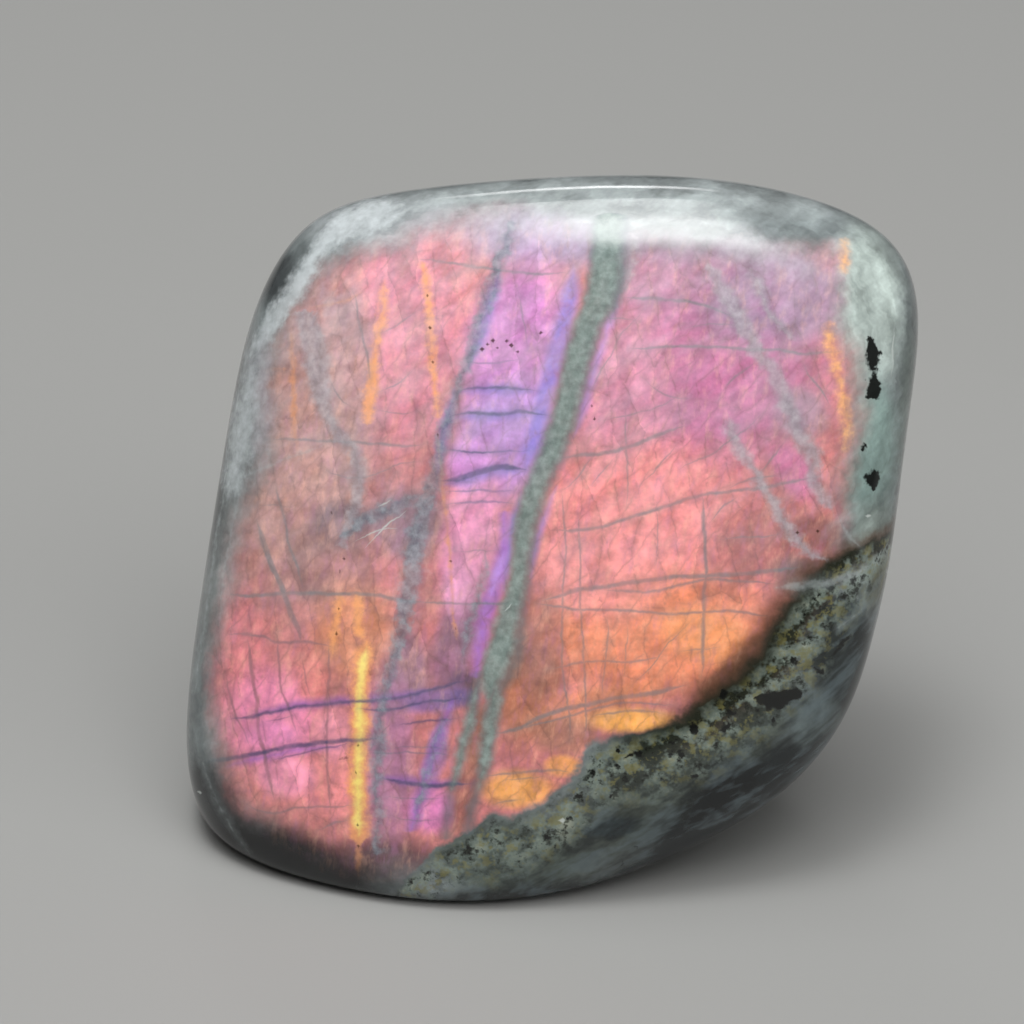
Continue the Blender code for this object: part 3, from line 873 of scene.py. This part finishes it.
def rimColour(tree, place, body):
    # milk in clear stone, in cloudy strands that roughly follow the rim, over patches with painted shade
    # below, and with painted shade towards the outline
    look = stoneLook
    rim = addNode(tree, "Mix", {0: 0.2, 6: rimBase, 7: body}, **ofColours)
    rim = paintPatches(tree, rim, place["ragged"], rimPatchesAndShade)
    along = addNode(tree, "VectorMath", {
        0: place["heading"], 3: face["radius"] / look["smokeLength"],
    }, operation="SCALE")
    inwards = addNode(tree, "Math", [place["fromRim"], 1 / look["smokeWidth"]], operation="MULTIPLY")
    smoke = addNode(tree, "TexNoise", {
        "Vector": addNode(tree, "VectorMath", [
            along, addNode(tree, "CombineXYZ", {2: inwards}),
        ], operation="ADD"),
        "Scale": 1.0, "Detail": 3.0, "Roughness": 0.66,
    })
    # darkest in the clear stone between the strands, and darkened with painted shade towards the outline,
    # where the surface turns away from the light
    depth = addNode(tree, "MapRange", [smoke, 0.32, 0.68, *look["smokeTones"]])
    mist = addNode(tree, "MapRange", [place["wisps"], 0.35, 0.65, 0.84, 1.16])
    # painted shade: the rim darkens towards its outline, where the surface turns away from the light
    edge = addNode(tree, "MapRange", [place["fromRim"], -0.8, 3.0, 0.6, 1.0])
    depth = addNode(tree, "Math", [depth, mist], operation="MULTIPLY")
    depth = addNode(tree, "Math", [depth, edge], operation="MULTIPLY")
    depth = addNode(tree, "CombineColor", [depth] * 3)
    return addNode(tree, "Mix", {0: 1.0, 6: rim, 7: depth}, **timesColour)


def flashColour(tree, place):
    # the play of colour: broad patches, cells between hair cracks, tints, streaks and veins
    look = flashLook
    fine = place["fine"]
    flash = paintPatches(tree, flashBase, fine, flashPatches)
    silk = addNode(tree, "TexNoise", {
        "Vector": addNode(tree, "Mapping", {
            "Vector": place["uvw"], "Rotation": (0, 0, math.radians(look["silkTurn"])),
            "Scale": look["silkSize"],
        }, vector_type="TEXTURE"),
        "Scale": 1.0, "Detail": 3.0, "Roughness": 0.65,
    })
    for low, high, colour, strength in look["silk"]:
        tint = addNode(tree, "MapRange", [silk, low, high, 0.0, strength])
        flash = addNode(tree, "Mix", {0: tint, 6: flash, 7: colour}, **ofColours)
    shade = addNode(tree, "MapRange", [place["patchy"], 0.35, 0.65, *look["tones"]])
    cracks = None
    for lean, width, length, dark, low, high, tones in look["cracks"]:
        cells = addNode(tree, "Mapping", {
            "Vector": place["uvw"], "Location": place["wander"], "Rotation": (0, 0, math.radians(lean)),
            "Scale": (length, width, 1.0),
        }, vector_type="TEXTURE")
        if tones:
            tone = addNode(tree, "TexVoronoi", {
                "Vector": cells, "Scale": 1.0,
            }, output=1, voronoi_dimensions="2D")
            tone = addNode(tree, "MapRange", [
                addNode(tree, "SeparateColor", [tone]), 0.0, 1.0, *look["cellTones"],
            ])
            shade = addNode(tree, "Math", [shade, tone], operation="MULTIPLY")
        edges = addNode(tree, "TexVoronoi", {
            "Vector": cells, "Scale": 1.0,
        }, feature="DISTANCE_TO_EDGE", voronoi_dimensions="2D")
        # dark in the crack, fading over a quarter of a cell
        near = addNode(tree, "Math", [
            addNode(tree, "MapRange", [edges, 0.0, 0.26, 1.0, 0.0]), 4.0,
        ], operation="POWER")
        crack = addNode(tree, "Math", [
            near, addNode(tree, "MapRange", [place["patchy"], low, high, 0.1, dark]),
        ], operation="MULTIPLY")
        cracks = addNode(tree, "Math", [cracks, crack], operation="MAXIMUM") if cracks else crack
    shade = addNode(tree, "CombineColor", [shade] * 3)
    flash = addNode(tree, "Mix", {0: 1.0, 6: flash, 7: shade}, **timesColour)
    for glow in glowLooks:
        flash = paintStrokes(tree, flash, place, glow)
    flash = addNode(tree, "Mix", {0: cracks, 6: flash, 7: look["crackColour"]}, **ofColours)
    for streak in streakLooks:
        flash = paintStrokes(tree, flash, place, streak)
    veinColour = paintPatches(tree, veinBase, fine, veinPatches)
    flash = paintStrokes(tree, flash, place, veinLook, veinColour)
    flash = paintStrokes(tree, flash, place, darkVeinLook)
    # all of it shines through a little milk, and higher up more of it, which there is partly a painted sheen
    # of the overhead light
    milk = addNode(tree, "MapRange", [place["wisps"], 0.35, 0.65, *look["milkiness"]])
    # painted sheen: the veil is made stronger towards the top
    higher = addNode(tree, "MapRange", [fine["v"], -16.0, 30.0, *look["milkAndSheenUpwards"]])
    milk = addNode(tree, "Math", [milk, higher], operation="MULTIPLY")
    return addNode(tree, "Mix", {0: milk, 6: flash, 7: look["milk"]}, **ofColours)


def cornerColour(tree, place, painted):
    # the speckled corner: dark olive edge, pale and olive specks, black grains, then streaky dark stone
    look = cornerLook
    before = place["beforeSpeckles"]
    u = place["ragged"]["u"]
    toTheRight = addNode(tree, "MapRange", [u, 3.0, 10.0, 0.2, 0.94])
    # at the right the play of colour turns brown before it ends
    within = addNode(tree, "MapRange", [before, -3.8, -1.8], **softly)
    nearing = addNode(tree, "MapRange", {0: before, 1: 3.6, 2: 0.2, 4: 0.8}, **softly)
    browned = addNode(tree, "Math", [
        addNode(tree, "MapRange", [u, 9.5, 13.5]),
        addNode(tree, "Math", [nearing, within], operation="MULTIPLY"),
    ], operation="MULTIPLY")
    painted = addNode(tree, "Mix", {0: browned, 6: painted, 7: look["brown"]}, **ofColours)
    fringe = addNode(tree, "Math", [
        addNode(tree, "MapRange", [before, 1.1, -0.7], **softly), within,
    ], operation="MULTIPLY")
    fringe = addNode(tree, "Math", [fringe, toTheRight], operation="MULTIPLY")
    painted = addNode(tree, "Mix", {0: fringe, 6: painted, 7: look["edge"]}, **ofColours)
    outside = addNode(tree, "MapRange", [before, -3.5, -7.0], **softly)
    inCorner = addNode(tree, "Math", [
        addNode(tree, "MapRange", [before, -0.3, -1.8]),
        addNode(tree, "MapRange", [before, -7.2, -3.8]),
    ], operation="MULTIPLY")
    layered = [(outside, place["wisps"], look["strands"])]
    for size, layers in look["speckles"]:
        layered.append((inCorner, addNode(tree, "TexNoise", {
            "Vector": place["uvw"], "Scale": 1 / size, "Detail": 3.0, "Roughness": 0.7,
        }), layers))
    for area, noise, layers in layered:
        for low, high, colour, strength in layers:
            spot = addNode(tree, "Math", [
                addNode(tree, "MapRange", [noise, low, high, 0.0, strength]), area,
            ], operation="MULTIPLY")
            painted = addNode(tree, "Mix", {0: spot, 6: painted, 7: colour}, **ofColours)
    return painted


def stoneMaterial():
    look = stoneLook
    material, tree, surface = startMaterial(look["name"])
    place = facePlace(tree)
    body = bodyColour(tree, place)
    rim = rimColour(tree, place, body)
    flash = flashColour(tree, place)

    # the play of colour fades at the rim, and breaks off sharply at the speckled corner
    soft = addNode(tree, "MapRange", [place["inFlash"], *flashLook["fade"]], **softly)
    sharp = addNode(tree, "MapRange", [place["beforeSpeckles"], *flashLook["breakOff"]], **softly)
    flashing = addNode(tree, "Math", [soft, sharp], operation="MULTIPLY")
    painted = addNode(tree, "Mix", {0: flashing, 6: rim, 7: flash}, **ofColours)
    painted = cornerColour(tree, place, painted)
    for stroke in bandLooks + milkLooks + [grainLook, dotLook]:
        painted = paintStrokes(tree, painted, place, stroke)

    # the back and the foot are plain body colour, and all of it is finely mottled
    colour = addNode(tree, "Mix", {0: place["front"], 6: body, 7: painted}, **ofColours)
    mottled = addNode(tree, "Math", [place["grain"], look["mottle"], 1.0], operation="MULTIPLY_ADD")
    mottled = addNode(tree, "CombineColor", [mottled] * 3)
    colour = addNode(tree, "Mix", {0: 1.0, 6: colour, 7: mottled}, **timesColour)
    tree.links.new(colour, surface.inputs["Base Color"])

    best, dullest = look["roughness"]
    roughness = addNode(tree, "MapRange", [place["patchy"], 0.3, 0.7, best, dullest])
    tree.links.new(roughness, surface.inputs["Roughness"])
    surface.inputs["IOR"].default_value = look["ior"]
    wave = addNode(tree, "TexNoise", {
        "Vector": addNode(tree, "TexCoord", output=3), "Scale": 1 / (look["polishWave"] * mm), "Detail": 0.0,
    })
    bump = addNode(tree, "Bump", {
        "Strength": look["waveStrength"], "Distance": look["waveHeight"] * mm, "Height": wave,
    })
    tree.links.new(bump, surface.inputs["Normal"])
    print("stone material:", len(tree.nodes), "nodes")
    return material


stone.data.materials.append(stoneMaterial())
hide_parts("stone")
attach(stone, "root")


# Floor, light and camera

# The floor is board with a matt pale paint. It gives the eye one even grey that takes a soft shadow, and a
# pale ground in the stone's polish.
studio = {
    "floorSize": 6.0,
    "floorColour": "#989896",
    "floorRoughness": 0.75,
    "world": 0.1,
    "lamps": [
        # name, middle, tilt about x and turn about z in degrees, width and depth, watts, how bright it is
        # across its width (from the left) and its depth (from the near side), or None where it is even
        ("overhead softbox", (-0.13, 0.06, 0.95), 0, 0, (0.32, 0.74), 8.6,
         [(0, 0.25), (0.06, 0.35), (0.24, 1), (0.7, 1), (1, 0.2)],
         [(0, 0.04), (0.16, 1), (0.4, 1), (0.52, 0.5), (0.64, 0.36), (1, 0.36)]),
        ("ceiling bounce", (0.0, -0.45, 1.2), 20, 0, (1.2, 1.2), 14.0, None, None),
        ("back strip", (-0.06, 0.68, 0.62), -48, 0, (0.30, 0.09), 0.7, [(0, 0), (0.5, 1), (1, 0)], None),
        ("right fill", (0.95, -0.75, 0.75), 50, 52, (0.9, 0.9), 4.4, None, None),
    ],
}

bpy.ops.mesh.primitive_plane_add(size=studio["floorSize"])
floor = bpy.context.active_object
floor.name = "floor"
floorMaterial, _, floorSurface = startMaterial("pale matt board")
floorSurface.inputs["Base Color"].default_value = linearColour(studio["floorColour"])
floorSurface.inputs["Roughness"].default_value = studio["floorRoughness"]
floor.data.materials.append(floorMaterial)

world = bpy.data.worlds.new("studio")
bpy.context.scene.world = world
world.use_nodes = True
background = world.node_tree.nodes["Background"]
background.inputs["Color"].default_value = (1.0, 1.0, 1.0, 1.0)
background.inputs["Strength"].default_value = studio["world"]

for name, spot, tilt, turn, (width, depth), power, glowAcross, glowDeep in studio["lamps"]:
    bpy.ops.object.light_add(type="AREA", location=spot,
                             rotation=(math.radians(tilt), 0, math.radians(turn)))
    lamp = bpy.context.active_object
    lamp.name = name
    lamp.data.shape = "RECTANGLE"
    lamp.data.size, lamp.data.size_y = width, depth
    lamp.data.energy = power
    if glowAcross:
        # a softbox is brightest in its middle
        lamp.data.use_nodes = True
        lampTree = lamp.data.node_tree
        onLamp = addNode(lampTree, "NewGeometry", output=5)
        spotOnLamp = addNode(lampTree, "SeparateXYZ", [onLamp]).node.outputs
        glow = 1.0
        for axis, points in ((0, glowAcross), (1, glowDeep)):
            if points:
                curve = addNode(lampTree, "FloatCurve", {1: spotOnLamp[axis]})
                setCurve(curve.node.mapping.curves[0], points, "VECTOR")
                curve.node.mapping.update()
                glow = addNode(lampTree, "Math", [glow, curve], operation="MULTIPLY")
        lampTree.links.new(glow, lampTree.nodes["Emission"].inputs["Strength"])
    else:
        lamp.visible_glossy = False

view = {
    "lens": 135.0,
    "distance": 364.8,                       # mm from the face frame's origin, along the view
    "right": -4.085,                         # mm from it across the picture
    "up": 3.135,
}
acrossView = faceTurn @ Vector((1, 0, 0))
upView = faceTurn @ Vector((0, 1, 0))
towardsCamera = faceTurn @ Vector((0, 0, 1))
bpy.ops.object.camera_add(
    location=mm * (face["origin"] + view["right"] * acrossView + view["up"] * upView
                   + view["distance"] * towardsCamera),
    rotation=(math.radians(90 - face["lean"]), 0, 0))
camera = bpy.context.active_object
camera.data.lens = view["lens"]
camera.data.sensor_width = 36.0
camera.data.clip_start = 0.01
bpy.context.scene.camera = camera
bpy.context.scene.view_settings.view_transform = "Standard"
bpy.context.scene.view_settings.look = "None"
print("camera at", [round(c / mm, 2) for c in camera.location])
